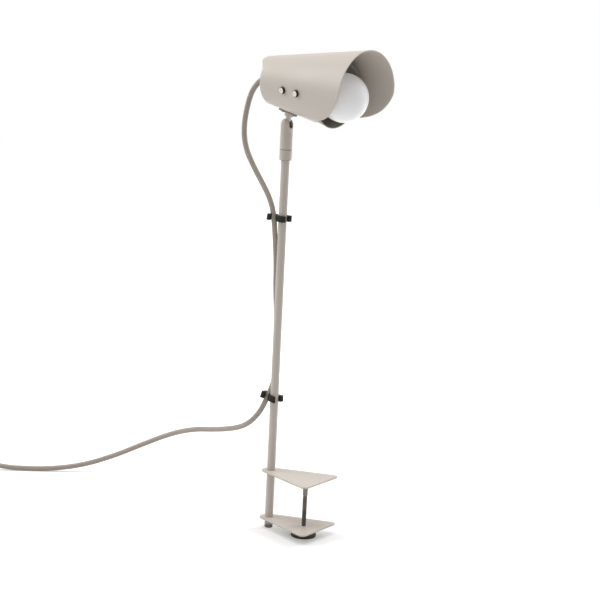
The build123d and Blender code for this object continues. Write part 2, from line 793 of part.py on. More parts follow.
# Coil: half turns that spiral in on the surface, climb a layer, and spiral out again.
coil_outer = 39.2
coil_step = 3.55
coil_halves = 3
coil_rise = 7.1
coil_climb_inset = 1.6
coil_lead = cord_diameter

coil_entry_x = switch_end + link_route[-1][0]
coil_center = Vector(coil_entry_x + coil_lead, -coil_outer, 0)
low_z = cord_radius
high_z = low_z + coil_rise


def coil_nodes():
    """Points at the ends of the half turns: spiral in, climb, spiral out."""
    inward = [(coil_outer - coil_step * k, low_z) for k in range(coil_halves + 1)]
    outward = [(r, high_z) for r, z in reversed(inward)]
    inward[-1] = (inward[-1][0] - coil_climb_inset, low_z)
    outward[0] = (outward[0][0] - coil_climb_inset, high_z)
    nodes = []
    for k, (r, z) in enumerate(inward + outward):
        side = 1 if k % 2 == 0 else -1
        nodes.append((coil_center + Vector(0, side * r, z), Vector(side, 0, 0)))
    return nodes


def half_turn(start, end, direction):
    """Two tangent arcs that turn the cord right round, through the point a quarter turn on."""
    reach = (end - start).length / 2
    middle = (start + end) * (1 / 2) + direction * reach
    first = TangentArc(start, middle, tangent=direction)
    second = TangentArc(middle, end, tangent=(end - start).normalized())
    return [first, second]


def coil_tube():
    nodes = coil_nodes()
    first, way = nodes[0]
    edges = [Line(first - way * coil_lead, first)]
    for (a, along), (b, _) in zip(nodes, nodes[1:]):
        edges += half_turn(a, b, along)
    last, way = nodes[-1]
    edges.append(Line(last, last + way * coil_lead))
    path = Wire([e.edge() if hasattr(e, "edge") else e for e in edges])
    section = Plane(origin=path @ 0, z_dir=path % 0) * Circle(cord_radius)
    tube = sweep(section, path=path)
    count = 360
    points = [path.position_at(i / count) for i in range(count + 1)]
    step = path.length / count
    apart = int(cord_diameter * pi / step)
    gap = min((points[i] - points[j]).length for i in range(count) for j in range(i + apart, count + 1))
    print("cord_coil length", round(path.length, 1), "least gap to itself", round(gap - cord_diameter, 2),
          "volume share", round(tube.volume / (pi * cord_radius**2 * path.length), 4))
    return tube, last + way * coil_lead, way


coil, coil_end, coil_way = coil_tube()
save("cord_coil", lead_place * coil)

# Plug: a flat two-pin plug lying beside the coil, at the end of a short tail.
plug_length = 36.0
plug_width = 26.0
plug_thickness = 13.7
plug_rear_width_share = 0.55
plug_relief_length = 20.0
plug_relief_root = 5.0
plug_relief_end = 3.9
plug_edge = 3.0
pin_radius_plug = 2.0
pin_length_plug = 19.0
pin_spacing = 18.6
pin_sunk = 6.0
plug_mid = plug_thickness / 2
tail_length = 28.0

tail_route = [(0.0, high_z), (7.0, 10.35), (14.0, 9.0), (21.0, 7.25), (tail_length, plug_mid)]
tail_points = [lead_place * Pos(coil_end.X + coil_way.X * x, coil_end.Y, z) for x, z in tail_route]
cord_tube("cord_tail", [tuple(p.position) for p in tail_points])

plug_place = lead_place * Pos(coil_end.X + coil_way.X * tail_length, coil_end.Y, plug_mid) * Rot(0, 0, 180)


def plug_solid():
    rear = plug_relief_length
    front = rear + plug_length
    half = plug_width / 2
    rear_half = half * plug_rear_width_share
    outline = Polyline((rear, -rear_half), (front - plug_length / 2, -half), (front, -half),
                       (front, half), (front - plug_length / 2, half), (rear, rear_half), close=True)
    body = extrude(make_face(outline), amount=plug_mid, both=True)
    body = fillet(body.edges().filter_by(Plane.XY), plug_edge)
    relief = solid_cone(0, rear + plug_edge, plug_relief_end, plug_relief_root)
    body += relief
    for side in (-1, 1):
        hole = Rot(0, 90, 0) * Cylinder(pin_radius_plug + seat_gap, pin_sunk * 2)
        body -= Pos(front, side * pin_spacing / 2, 0) * hole
    return body


def plug_pin(side):
    whole = pin_sunk - seat_gap + pin_length_plug
    pin = Rot(0, 90, 0) * Cylinder(pin_radius_plug, whole)
    pin = fillet(pin.edges().sort_by(Axis.X)[-1:], pin_radius_plug / 2)
    start = plug_relief_length + plug_length - pin_sunk + seat_gap
    return Pos(start + whole / 2, side * pin_spacing / 2, 0) * pin


save("plug_body", plug_place * plug_solid())
save("plug_pins", *[plug_place * plug_pin(side) for side in (-1, 1)])
print("head origin", head_origin, "lead heading", heading, "ball to hood", round(ball_to_hood, 2))
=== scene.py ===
# Screw-clamp reading lamp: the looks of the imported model, in metres, in the frame of the CAD part.
# The sections follow the lamp from the clamp up to the hood, then along the cord to the plug.
from math import acos, atan2, cos, degrees, pi, radians, sin

import bpy
import numpy as np
from mathutils import Matrix, Vector


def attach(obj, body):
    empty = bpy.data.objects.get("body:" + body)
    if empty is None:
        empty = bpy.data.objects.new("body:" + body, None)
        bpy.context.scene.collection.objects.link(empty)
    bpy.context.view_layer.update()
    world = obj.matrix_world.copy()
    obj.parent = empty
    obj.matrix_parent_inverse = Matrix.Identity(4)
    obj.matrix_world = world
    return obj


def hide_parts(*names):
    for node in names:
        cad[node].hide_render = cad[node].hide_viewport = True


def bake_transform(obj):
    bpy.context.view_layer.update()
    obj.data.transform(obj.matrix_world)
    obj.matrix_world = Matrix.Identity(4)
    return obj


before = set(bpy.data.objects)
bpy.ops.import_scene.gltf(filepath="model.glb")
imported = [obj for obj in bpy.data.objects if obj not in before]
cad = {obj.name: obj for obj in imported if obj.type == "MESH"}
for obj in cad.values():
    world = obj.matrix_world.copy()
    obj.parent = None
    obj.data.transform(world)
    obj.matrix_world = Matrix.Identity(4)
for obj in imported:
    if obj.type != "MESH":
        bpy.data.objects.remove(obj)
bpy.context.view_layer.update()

# The studio is not part of the lamp: a pale floor that keeps the soft shadow, a wide softbox
# overhead, weaker ones at the left and behind, and a plain white surround seen by the camera. The
# floor glows more with distance, to meet the surround.
floor_height = -0.074
floor_half = 3.0
paper_colour = (0.82, 0.82, 0.82, 1)
glow_levels = (0.26, 0.75)
glow_reach = (0.25, 1.1)
surround_light = 0.27
overhead_power = 95.0
overhead_size = 3.6
left_power = 27.0
back_power = 36.0
side_size = 1.4
camera_place = (1.3570, -2.0063, 0.7070)
camera_azimuth = radians(34.51)
camera_drop = radians(11.13)
camera_roll = radians(2.77)
camera_lens = 119.42
camera_sensor = 36.0


def add_node(tree, kind, inputs=(), **settings):
    """Adds a node, sets its properties, and sets or links its inputs, given as (socket, value or socket)."""
    made = tree.nodes.new(kind)
    for key, value in settings.items():
        setattr(made, key, value)
    for key, value in inputs:
        if isinstance(value, bpy.types.NodeSocket):
            tree.links.new(value, made.inputs[key])
        else:
            made.inputs[key].default_value = value
    return made


def value_math(tree, operation, *values):
    """The result of a Math node."""
    return add_node(tree, "ShaderNodeMath", enumerate(values), operation=operation).outputs[0]


def vector_math(tree, operation, *values):
    """The result of a Vector Math node."""
    made = add_node(tree, "ShaderNodeVectorMath", enumerate(values), operation=operation)
    return made.outputs["Value" if operation == "LENGTH" else "Vector"]


def ranged(tree, value, low, high, start=0.0, end=1.0):
    """A value spread from one range, 0 to 1 unless given, over another."""
    made = add_node(tree, "ShaderNodeMapRange", [
        ("Value", value), ("From Min", start), ("From Max", end), ("To Min", low), ("To Max", high)])
    return made.outputs[0]


def seen_directly(tree):
    """1 for the rays by which the camera, a gloss or a glass sees the white surround."""
    path = add_node(tree, "ShaderNodeLightPath").outputs
    gloss = value_math(tree, "MAXIMUM", path["Is Camera Ray"], path["Is Glossy Ray"])
    return value_math(tree, "MAXIMUM", gloss, path["Is Transmission Ray"])


def empty_material(name):
    material = bpy.data.materials.new(name)
    material.use_nodes = True
    material.node_tree.nodes.clear()
    return material, material.node_tree


def mesh_of(name, points, faces=()):
    mesh = bpy.data.meshes.new(name)
    mesh.from_pydata([tuple(point) for point in points], [], faces)
    return mesh


def put_in_scene(name, data):
    made = bpy.data.objects.new(name, data)
    bpy.context.scene.collection.objects.link(made)
    return made


def studio_floor():
    corners = ((-1, -1), (1, -1), (1, 1), (-1, 1))
    mesh = mesh_of("studio_floor", [(x * floor_half, y * floor_half, floor_height) for x, y in corners],
                   [(0, 1, 2, 3)])
    material, tree = empty_material("studio_floor")
    place = add_node(tree, "ShaderNodeTexCoord").outputs["Object"]
    glow = ranged(tree, vector_math(tree, "LENGTH", place), *glow_levels, *glow_reach)
    glow = value_math(tree, "MULTIPLY", glow, seen_directly(tree))
    white = add_node(tree, "ShaderNodeEmission", [("Color", (1, 1, 1, 1)), ("Strength", glow)])
    paper = add_node(tree, "ShaderNodeBsdfDiffuse", [("Color", paper_colour)])
    both = add_node(tree, "ShaderNodeAddShader", [(0, white.outputs[0]), (1, paper.outputs[0])])
    add_node(tree, "ShaderNodeOutputMaterial", [("Surface", both.outputs[0])])
    mesh.materials.append(material)
    floor = put_in_scene("studio_floor", mesh)


def softbox(name, place, target, size, power, mirrored=True):
    light = bpy.data.lights.new(name, "AREA")
    light.shape = "SQUARE"
    light.size = size
    light.energy = power
    lamp = put_in_scene(name, light)
    lamp.location = place
    lamp.rotation_euler = (Vector(target) - Vector(place)).to_track_quat("-Z", "Y").to_euler()
    lamp.visible_glossy = mirrored


def white_surround():
    world = bpy.data.worlds.new("white_surround")
    world.use_nodes = True
    tree = world.node_tree
    tree.nodes.clear()
    level = ranged(tree, seen_directly(tree), surround_light, 1.0)
    sky = add_node(tree, "ShaderNodeBackground", [("Color", (1, 1, 1, 1)), ("Strength", level)])
    add_node(tree, "ShaderNodeOutputWorld", [("Surface", sky.outputs[0])])
    bpy.context.scene.world = world


def photo_camera():
    lens = bpy.data.cameras.new("photo_camera")
    lens.lens = camera_lens
    lens.sensor_width = camera_sensor
    camera = put_in_scene("photo_camera", lens)
    camera.matrix_world = (
        Matrix.Translation(camera_place) @ Matrix.Rotation(camera_azimuth, 4, "Z")
        @ Matrix.Rotation(pi / 2 - camera_drop, 4, "X") @ Matrix.Rotation(camera_roll, 4, "Z"))
    bpy.context.scene.camera = camera


studio_floor()
white_surround()
softbox("overhead_softbox", (-0.15, -0.25, 4.0), (0, 0, 0.2), overhead_size, overhead_power)
softbox("left_softbox", (-2.2, -0.9, 1.6), (0, 0, 0.3), side_size, left_power)
softbox("back_softbox", (0.6, 2.2, 1.1), (0, 0, 0.2), side_size, back_power, mirrored=False)
photo_camera()
bpy.context.scene.view_settings.view_transform = "Standard"

# The clamp's two plates: sheet steel cut to a drop outline, welded to the post and powder coated
# in a warm light grey. The coat is satin, with a very fine grain and a faint cloudiness.
paint_colour = (0.605, 0.547, 0.487, 1)
coat_bump = 0.12
coat_depth = 0.0002
rough_span = (0.3, 0.7)


def effect_group(name, inputs, outputs=()):
    """A shader node group on a colour, with more inputs (name, kind, default) and outputs (name, kind)."""
    tree = bpy.data.node_groups.new(name, "ShaderNodeTree")
    for label, kind, value in [("Colour", "Color", (0.5, 0.5, 0.5, 1)), *inputs]:
        socket = tree.interface.new_socket(label, in_out="INPUT", socket_type="NodeSocket" + kind)
        socket.default_value = value
    for label, kind in [("Colour", "Color"), *outputs]:
        tree.interface.new_socket(label, in_out="OUTPUT", socket_type="NodeSocket" + kind)
    return tree, tree.nodes.new("NodeGroupInput").outputs, tree.nodes.new("NodeGroupOutput").inputs


def surface_group(name, gloss, *inputs):
    """An effect group that also puts out a roughness, between its two gloss values, and a height."""
    ends = [("Gloss Low", "Float", gloss[0]), ("Gloss High", "Float", gloss[1])]
    return effect_group(name, [*inputs, *ends], [("Roughness", "Float"), ("Height", "Float")])


def shaded(tree, colour, shade):
    """A colour multiplied by a grey value."""
    return vector_math(tree, "MULTIPLY", colour, shade)


def noise(tree, place, scale, detail):
    made = add_node(tree, "ShaderNodeTexNoise", [("Vector", place), ("Scale", scale), ("Detail", detail)])
    return made.outputs[0]


def end_surface(tree, given, out, shade, wear, height):
    """Ends a surface group: a shaded colour, a roughness that follows the wear, and a height."""
    tree.links.new(shaded(tree, given["Colour"], shade), out["Colour"])
    rough = ranged(tree, wear, given["Gloss Low"], given["Gloss High"], *rough_span)
    tree.links.new(rough, out["Roughness"])
    tree.links.new(height, out["Height"])
    return tree


def powder_coat_group():
    tree, given, out = surface_group("powder_coat", (0.4, 0.56), ("Grain", "Float", 1500.0),
                                     ("Cloud", "Float", 16.0))
    place = add_node(tree, "ShaderNodeTexCoord").outputs["Object"]
    grain = noise(tree, place, given["Grain"], 2.0)
    cloud = noise(tree, place, given["Cloud"], 3.0)
    shade = value_math(tree, "MULTIPLY", ranged(tree, grain, 0.97, 1.03), ranged(tree, cloud, 0.955, 1.045))
    return end_surface(tree, given, out, shade, cloud, grain)


def finish(name, group, values, bump, depth=0.0001, marks=(), **constants):
    """A material: an effect group with its values, a bump from its height, marks of painted shade and
    reflection on its colour, each a group with its values, and constant shader sockets."""
    material, tree = empty_material(name)
    effect = add_node(tree, "ShaderNodeGroup", values.items(), node_tree=group)
    relief = add_node(tree, "ShaderNodeBump", [("Strength", bump), ("Distance", depth),
                                               ("Height", effect.outputs["Height"])])
    colour = effect.outputs["Colour"]
    for mark, settings in marks:
        marked = add_node(tree, "ShaderNodeGroup", [("Colour", colour), *settings.items()], node_tree=mark)
        colour = marked.outputs["Colour"]
    surface = add_node(tree, "ShaderNodeBsdfPrincipled", [
        ("Base Color", colour), ("Roughness", effect.outputs["Roughness"]), ("Normal", relief.outputs[0])])
    for label, value in constants.items():
        surface.inputs[label.replace("_", " ").title().replace("Ior", "IOR")].default_value = value
    add_node(tree, "ShaderNodeOutputMaterial", [("Surface", surface.outputs[0])])
    return material


def coated(name, colour, marks=(), **constants):
    return finish(name, powder_coat, {"Colour": colour}, coat_bump, coat_depth, marks, **constants)


def dress(material, *nodes):
    """Gives CAD nodes that keep their shape their finish."""
    for name in nodes:
        cad[name].data.materials.clear()
        cad[name].data.materials.append(material)


powder_coat = powder_coat_group()
paint = coated("warm_grey_paint", paint_colour)
dress(paint, "upper_plate", "lower_plate")

# The clamp screw: a steel rod with a rolled thread, painted dark towards its foot as shade and dark
# reflection near the lower plate, where a black knob turns it. A smooth pin at its top turns in the
# pad, which presses on the table, and a press nut carries it.
rod_foot = -0.0715
rod_shoulder = -0.0214
rod_radius = 0.0029
rod_sides = 40
rod_pin_radius = 0.002
rod_pin_length = 0.009
rod_shade_top = -0.040
rod_painted_shade = 0.72
thread_pitch = 0.001
thread_depth = 0.00055
thread_ridge_share = 0.62
thread_steps = 24
screw_steel_colour = (0.195, 0.172, 0.155, 1)
bright_steel_colour = (0.62, 0.61, 0.59, 1)
knob_colour = (0.066, 0.059, 0.043, 1)
metal_bump = 0.05


def drawn_metal_group():
    tree, given, out = surface_group("drawn_metal", (0.24, 0.42), ("Stretch", "Vector", (900.0, 900.0, 60.0)))
    place = add_node(tree, "ShaderNodeTexCoord").outputs["Object"]
    streak = noise(tree, vector_math(tree, "MULTIPLY", place, given["Stretch"]), 1.0, 3.0)
    tarnish = noise(tree, place, 190.0, 4.0)
    shade = value_math(tree, "MULTIPLY", ranged(tree, streak, 0.9, 1.1), ranged(tree, tarnish, 0.86, 1.1))
    return end_surface(tree, given, out, shade, tarnish, streak)


def moulded_plastic_group():
    tree, given, out = surface_group("moulded_plastic", (0.38, 0.55), ("Grain", "Float", 2200.0))
    place = add_node(tree, "ShaderNodeTexCoord").outputs["Object"]
    grain = add_node(tree, "ShaderNodeTexVoronoi", [("Vector", place), ("Scale", given["Grain"])])
    flow = noise(tree, place, 60.0, 2.0)
    return end_surface(tree, given, out, ranged(tree, flow, 0.9, 1.1), flow, grain.outputs["Distance"])


def painted_shade_mark_group():
    """Paints shade onto a colour within reach of a centre. The stretch of each axis makes a ball, an egg or a
    band.
    """
    tree, given, out = effect_group("painted_shade_mark", [
        ("Centre", "Vector", (0.0, 0.0, 0.0)), ("Stretch", "Vector", (1.0, 1.0, 1.0)),
        ("Reach", "Float", 0.001), ("Shade", "Float", 0.3)])
    place = add_node(tree, "ShaderNodeTexCoord").outputs["Object"]
    off = vector_math(tree, "SUBTRACT", place, given["Centre"])
    away = vector_math(tree, "LENGTH", vector_math(tree, "MULTIPLY", off, given["Stretch"]))
    within = value_math(tree, "LESS_THAN", away, given["Reach"])
    shade = ranged(tree, within, 1.0, given["Shade"])
    tree.links.new(shaded(tree, given["Colour"], shade), out["Colour"])
    return tree


def painted_shade_ball(centre, reach, shade, stretch=(1, 1, 1)):
    """A painted shade mark round a centre."""
    return painted_shade_mark, {"Centre": centre, "Stretch": stretch, "Reach": reach, "Shade": shade}


def painted_shade_band(low, high, shade):
    """A painted shade mark between two heights."""
    return painted_shade_ball((0, 0, (low + high) / 2), (high - low) / 2, shade, (0, 0, 1))


def bare_metal(name, colour, marks=()):
    return finish(name, drawn_metal, {"Colour": colour}, metal_bump, marks=marks, metallic=1.0)


def plastic(name, colour, bump, gloss=(0.38, 0.55), marks=(), **constants):
    values = {"Colour": colour, "Gloss Low": gloss[0], "Gloss High": gloss[1]}
    return finish(name, moulded_plastic, values, bump, marks=marks, **constants)


def shape_tree(name, *inputs):
    """A Geometry Nodes tree with named inputs (name, kind), a geometry first, and one output of geometry."""
    tree = bpy.data.node_groups.new(name, "GeometryNodeTree")
    for label, kind in [("Geometry", "Geometry"), *inputs]:
        tree.interface.new_socket(label, in_out="INPUT", socket_type="NodeSocket" + kind)
    tree.interface.new_socket("Shape", in_out="OUTPUT", socket_type="NodeSocketGeometry")
    return tree, tree.nodes.new("NodeGroupInput").outputs, tree.nodes.new("NodeGroupOutput").inputs


def realised(tree, shape, material, out):
    """Ends a tree: real geometry with its finish."""
    real = add_node(tree, "GeometryNodeRealizeInstances", [("Geometry", shape)]).outputs[0]
    done = add_node(tree, "GeometryNodeSetMaterial", [("Geometry", real), ("Material", material)])
    tree.links.new(done.outputs[0], out["Shape"])


def grown(name, start, tree, values):
    """Runs a Geometry Nodes tree on a mesh and keeps the result as a plain mesh object."""
    seed = put_in_scene(name + "_start", start)
    modifier = seed.modifiers.new("shape", "NODES")
    modifier.node_group = tree
    for item in tree.interface.items_tree:
        if item.in_out == "INPUT" and item.name in values:
            modifier[item.identifier] = values[item.name]
    seed.update_tag()
    graph = bpy.context.evaluated_depsgraph_get()
    mesh = bpy.data.meshes.new_from_object(seed.evaluated_get(graph))
    bpy.data.objects.remove(seed)
    mesh.name = name
    return put_in_scene(name, mesh)


def rolled_thread_tree():
    tree, given, out = shape_tree(
        "rolled_thread", ("Length", "Float"), ("Radius", "Float"), ("Pitch", "Float"), ("Depth", "Float"),
        ("Pin Radius", "Float"), ("Pin Length", "Float"), ("Finish", "Material"))

    def bar(radius, length):
        return add_node(tree, "GeometryNodeMeshCylinder", [
            ("Vertices", rod_sides), ("Radius", radius), ("Depth", length)]).outputs["Mesh"]

    def lifted(shape, height):
        rise = add_node(tree, "ShaderNodeCombineXYZ", [("Z", height)]).outputs[0]
        moved = add_node(tree, "GeometryNodeTransform", [("Geometry", shape), ("Translation", rise)])
        return moved.outputs[0]

    def half(length):
        return value_math(tree, "MULTIPLY", length, 0.5)

    ridge = value_math(tree, "MULTIPLY", given["Depth"], thread_ridge_share)
    middle = value_math(tree, "SUBTRACT", given["Radius"], ridge)
    turns = value_math(tree, "SUBTRACT", value_math(tree, "DIVIDE", given["Length"], given["Pitch"]), 1.0)
    helix = add_node(tree, "GeometryNodeCurveSpiral", [
        ("Resolution", thread_steps), ("Rotations", turns), ("Start Radius", middle), ("End Radius", middle),
        ("Height", value_math(tree, "MULTIPLY", turns, given["Pitch"]))]).outputs[0]
    upright = add_node(tree, "GeometryNodeSetCurveNormal", [("Curve", helix)], mode="Z_UP").outputs[0]
    section = add_node(tree, "GeometryNodeCurvePrimitiveCircle", [("Resolution", 4), ("Radius", ridge)])
    thread = add_node(tree, "GeometryNodeCurveToMesh", [
        ("Curve", upright), ("Profile Curve", section.outputs[0]), ("Fill Caps", True)]).outputs[0]
    core = bar(value_math(tree, "SUBTRACT", given["Radius"], given["Depth"]), given["Length"])
    pin = bar(given["Pin Radius"], given["Pin Length"])
    pin_middle = value_math(tree, "ADD", given["Length"], half(given["Pin Length"]))
    whole = add_node(tree, "GeometryNodeJoinGeometry")
    for part, height in ((pin, pin_middle), (core, half(given["Length"])), (thread, half(given["Pitch"]))):
        tree.links.new(lifted(part, height), whole.inputs[0])
    realised(tree, whole.outputs[0], given["Finish"], out)
    return tree


drawn_metal = drawn_metal_group()
moulded_plastic = moulded_plastic_group()
painted_shade_mark = painted_shade_mark_group()
# The rod's darker band at its foot is painted shade and dark reflection near the lower plate.
screw_steel = finish("screw_steel", drawn_metal, {
    "Colour": screw_steel_colour, "Gloss Low": 0.34, "Gloss High": 0.5}, 0.1,
    marks=[painted_shade_band(rod_foot, rod_shade_top, rod_painted_shade)], metallic=1.0)
bright_steel = bare_metal("bright_zinc_steel", bright_steel_colour)
knob_plastic = plastic("knob_plastic", knob_colour, 0.15, (0.55, 0.7), specular_ior_level=0.3)
threaded_rod = grown("threaded_rod", bpy.data.meshes.new("threaded_rod_seed"), rolled_thread_tree(), {
    "Length": rod_shoulder - rod_foot, "Radius": rod_radius, "Pitch": thread_pitch,
    "Depth": thread_depth, "Pin Radius": rod_pin_radius, "Pin Length": rod_pin_length, "Finish": screw_steel})
threaded_rod.data.transform(Matrix.Translation((0, 0, rod_foot)))
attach(threaded_rod, "clamp_screw")
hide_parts("screw_rod")
dress(knob_plastic, "knob")
dress(screw_steel, "pad")
dress(bright_steel, "press_nut")

# The post: a thin steel tube, coated like the plates, with a grey plastic plug pushed into its foot,
# painted dark towards the floor as the shade where it stands, and a steel bush in its top.
grey_plastic_colour = (0.46, 0.435, 0.40, 1)
foot_shade_height = 0.0045
foot_painted_shade = 0.46

grey_plastic = plastic("grey_plastic", grey_plastic_colour, 0.12, marks=[
    painted_shade_band(floor_height, floor_height + foot_shade_height, foot_painted_shade)])
dress(paint, "post")
dress(grey_plastic, "post_cap")
dress(bright_steel, "post_bush")

# The barrel: a turned and coated socket with a domed top and a drop slot, on a collar with the same
# coat that is fixed on the post. The bore and the stud's ball, which a spring presses a white seat
# against, are painted near black as the shade inside the socket. The joint between barrel and collar
# and the collar's lower edge are painted as dark lines, for the shade in their gaps.
post_place = -0.0545
ball_height = 0.4435
ball_reach = 0.0058
ball_painted_shade = 0.05
bore_height = 0.4385
bore_reach = 0.0062
bore_painted_shade = 0.04
collar_foot = 0.4003
collar_joint = 0.4134
joint_half = 0.00045
joint_painted_shade = 0.4
white_plastic_colour = (0.74, 0.73, 0.70, 1)

ball_centre = (post_place, 0, ball_height)
bore_centre = (post_place, 0, bore_height)
white_plastic = plastic("white_plastic", white_plastic_colour, 0.1)
barrel_paint_and_shade = coated("barrel_paint_and_shade", paint_colour, [
    painted_shade_ball(ball_centre, ball_reach, bore_painted_shade),
    painted_shade_ball(bore_centre, bore_reach, bore_painted_shade, (1, 1, 0.5)),
    painted_shade_band(collar_joint - joint_half, collar_joint + joint_half, joint_painted_shade),
    painted_shade_band(collar_foot - joint_half, collar_foot + joint_half, joint_painted_shade)])
stud_paint_and_shade = coated("stud_paint_and_shade", paint_colour, [painted_shade_ball(ball_centre, ball_reach, ball_painted_shade)])
dress(barrel_paint_and_shade, "barrel", "collar")
dress(stud_paint_and_shade, "ball_stud")
dress(bright_steel, "friction_spring")
dress(white_plastic, "ball_seat")

# The bracket: a thin saddle plate of steel under the hood, coloured dark as painted shade for the gap
# between it and the hood, held by two small black screws with round heads, whose nuts are inside the hood.
bracket_shade_colour = (0.28, 0.252, 0.22, 1)
black_steel_colour = (0.05, 0.046, 0.04, 1)
head_yaw = radians(-5.13)
head_pitch = radians(2.01)
hood_rear_radius = 0.0306
hood_slope = 0.1605
stud_foot = 0.02605
stud_length = 0.0165
bracket_thickness = 0.0018
bracket_screw_pitch = 0.0093
screw_head_sides = 36
small_head_radius = 0.00275
small_head_height = 0.0022


def hood_radius(place):
    return hood_rear_radius + hood_slope * place


def hood_point(place, angle, lift):
    """A point above the hood's sheet and the way out of it, in the hood's own frame: place is along the
    axis from the rear, and angle is from the top, to the left."""
    side, rise = sin(radians(angle)), cos(radians(angle))
    out = Vector((-hood_slope, side, rise)).normalized()
    return Vector((place, hood_radius(place) * side, hood_radius(place) * rise)) + out * lift, out


def on_hood(place, angle, lift):
    """The same point and way out, where the hood stands on the lamp."""
    point, out = hood_point(place, angle, lift)
    return head_place @ point, head_place.to_3x3() @ out


def ring_faces(rings, sides, first=0, inward=False):
    """The faces between rings of points that follow each other."""
    faces = []
    for ring in range(rings - 1):
        for k in range(sides):
            near = first + ring * sides
            beside = (k + 1) % sides
            face = (near + k, near + beside, near + sides + beside, near + sides + k)
            faces.append((face[0], *face[:0:-1]) if inward else face)
    return faces


def key_head(name, key_share, key_depth, round_share):
    """A round screw head of unit radius and height with a six-sided key hole, standing on z 0. Its flat
    face is marked."""
    angles = [2 * pi * k / screw_head_sides for k in range(screw_head_sides)]
    edge = [radians(18 * k) for k in range(6)]
    flank = 1 - round_share
    profile = [(1.0, 0.0)] + [(flank + round_share * cos(a), flank + round_share * sin(a)) for a in edge]
    rings = [[(radius * cos(a), radius * sin(a), height) for a in angles] for radius, height in profile]
    key = [key_share / cos((a + pi / 6) % (pi / 3) - pi / 6) for a in angles]
    for height in (1.0, 1.0 - key_depth):
        rings.append([(reach * cos(a), reach * sin(a), height) for reach, a in zip(key, angles)])
    count = len(rings) * screw_head_sides
    faces = ring_faces(len(rings), screw_head_sides)
    faces += [tuple(range(count - screw_head_sides, count)), tuple(reversed(range(screw_head_sides)))]
    mesh = mesh_of(name, [point for ring in rings for point in ring], faces)
    flat = mesh.attributes.new("flat_face", "FLOAT", "POINT")
    flat.data.foreach_set("value", [float(k >= (len(profile) - 1) * screw_head_sides) for k in range(count)])
    return put_in_scene(name, mesh)


def screw_heads_tree():
    tree, given, out = shape_tree("screw_heads", ("Head", "Object"), ("Head Radius", "Float"),
                                  ("Head Height", "Float"), ("Finish", "Material"))
    outward = add_node(tree, "GeometryNodeInputNamedAttribute", [("Name", "outward")],
                       data_type="FLOAT_VECTOR").outputs["Attribute"]
    turn = add_node(tree, "FunctionNodeAlignRotationToVector", [("Vector", outward)], axis="Z")
    size = add_node(tree, "ShaderNodeCombineXYZ", [
        ("X", given["Head Radius"]), ("Y", given["Head Radius"]), ("Z", given["Head Height"])])
    head = add_node(tree, "GeometryNodeObjectInfo", [("Object", given["Head"])])
    heads = add_node(tree, "GeometryNodeInstanceOnPoints", [
        ("Points", given["Geometry"]), ("Instance", head.outputs["Geometry"]),
        ("Rotation", turn.outputs[0]), ("Scale", size.outputs[0])])
    realised(tree, heads.outputs[0], given["Finish"], out)
    return tree


def heads_at(name, spots, head, radius, height, material):
    """Copies of a screw head as one piece. A spot is a point and the way its screw faces."""
    start = mesh_of(name + "_spots", [point for point, _ in spots])
    facing = start.attributes.new("outward", "FLOAT_VECTOR", "POINT")
    facing.data.foreach_set("vector", [x for _, out in spots for x in out])
    piece = grown(name, start, screw_heads, {
        "Head": head, "Head Radius": radius, "Head Height": height, "Finish": material})
    bpy.data.objects.remove(head)
    return piece


ball_on_hood, _ = hood_point(stud_foot, 180, bracket_thickness + stud_length)
head_turn = Matrix.Rotation(head_yaw, 4, "Z") @ Matrix.Rotation(head_pitch, 4, "Y")
head_place = Matrix.Translation(ball_centre) @ head_turn @ Matrix.Translation(-ball_on_hood)
# The bracket's dark colour is painted shade, for the gap under the hood.
bracket_shaded_steel = coated("bracket_shaded_steel", bracket_shade_colour, specular_ior_level=0.3)
black_steel = bare_metal("black_steel", black_steel_colour)
screw_heads = screw_heads_tree()
foot_point, foot_out = on_hood(stud_foot, 180, bracket_thickness)
foot_along = (head_place.to_3x3() @ Vector((1, 0, -hood_slope))).normalized()
bracket_spots = [(foot_point + foot_along * side * bracket_screw_pitch, foot_out) for side in (-1, 1)]
small_head = key_head("small_head", key_share=0.42, key_depth=0.5, round_share=0.3)
bracket_heads = heads_at("bracket_screw_heads", bracket_spots, small_head,
                         small_head_radius, small_head_height, black_steel)
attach(bracket_heads, "head")
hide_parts("bracket_screws")
dress(bracket_shaded_steel, "bracket_plate")

# The hood: one sheet of steel rolled to a cone, scooped away below at the front and drawn out in a
# rounded tongue at the back. Its edges are broken and it is powder coated inside and out.
hood_length = 0.14395
hood_sheet = 0.001
hood_edge = 0.0003
hood_around = 240
hood_along = 40
tongue_length = 0.011
tongue_flat = 0.01302
tongue_bend = 0.0197
tongue_root = 0.027
tongue_corner = 0.009
tongue_taper = 0.010
# The scoop's line on each side, in shares of the front radius for its heights and of the length
scoop_heights = (-0.84, -0.786, -0.697, -0.65, -0.61, -0.572, -0.53, -0.459, -0.36, -0.264, -0.167, -0.073,
                 0.02, 0.149, 0.32)
scoop_right = (0.44, 0.51, 0.632, 0.692, 0.741, 0.777, 0.815, 0.863, 0.906, 0.939, 0.965, 0.987,
               0.996, 1.0, 1.03)
scoop_left = (0.44, 0.51, 0.65, 0.735, 0.803, 0.848, 0.875, 0.908, 0.938, 0.958, 0.975, 0.988,
              0.996, 1.0, 1.03)
scoop_half = 0.0577


def eased(value, marks, levels):
    """A smooth line through levels at rising marks."""
    marks, levels = np.array(marks), np.array(levels)
    slopes = np.gradient(levels, marks)
    k = np.clip(np.searchsorted(marks, value) - 1, 0, len(marks) - 2)
    step = marks[k + 1] - marks[k]
    t = np.clip((value - marks[k]) / step, 0, 1)
    return ((2 * t**3 - 3 * t**2 + 1) * levels[k] + (t**3 - 2 * t**2 + t) * step * slopes[k]
            + (3 * t**2 - 2 * t**3) * levels[k + 1] + (t**3 - t**2) * step * slopes[k + 1])


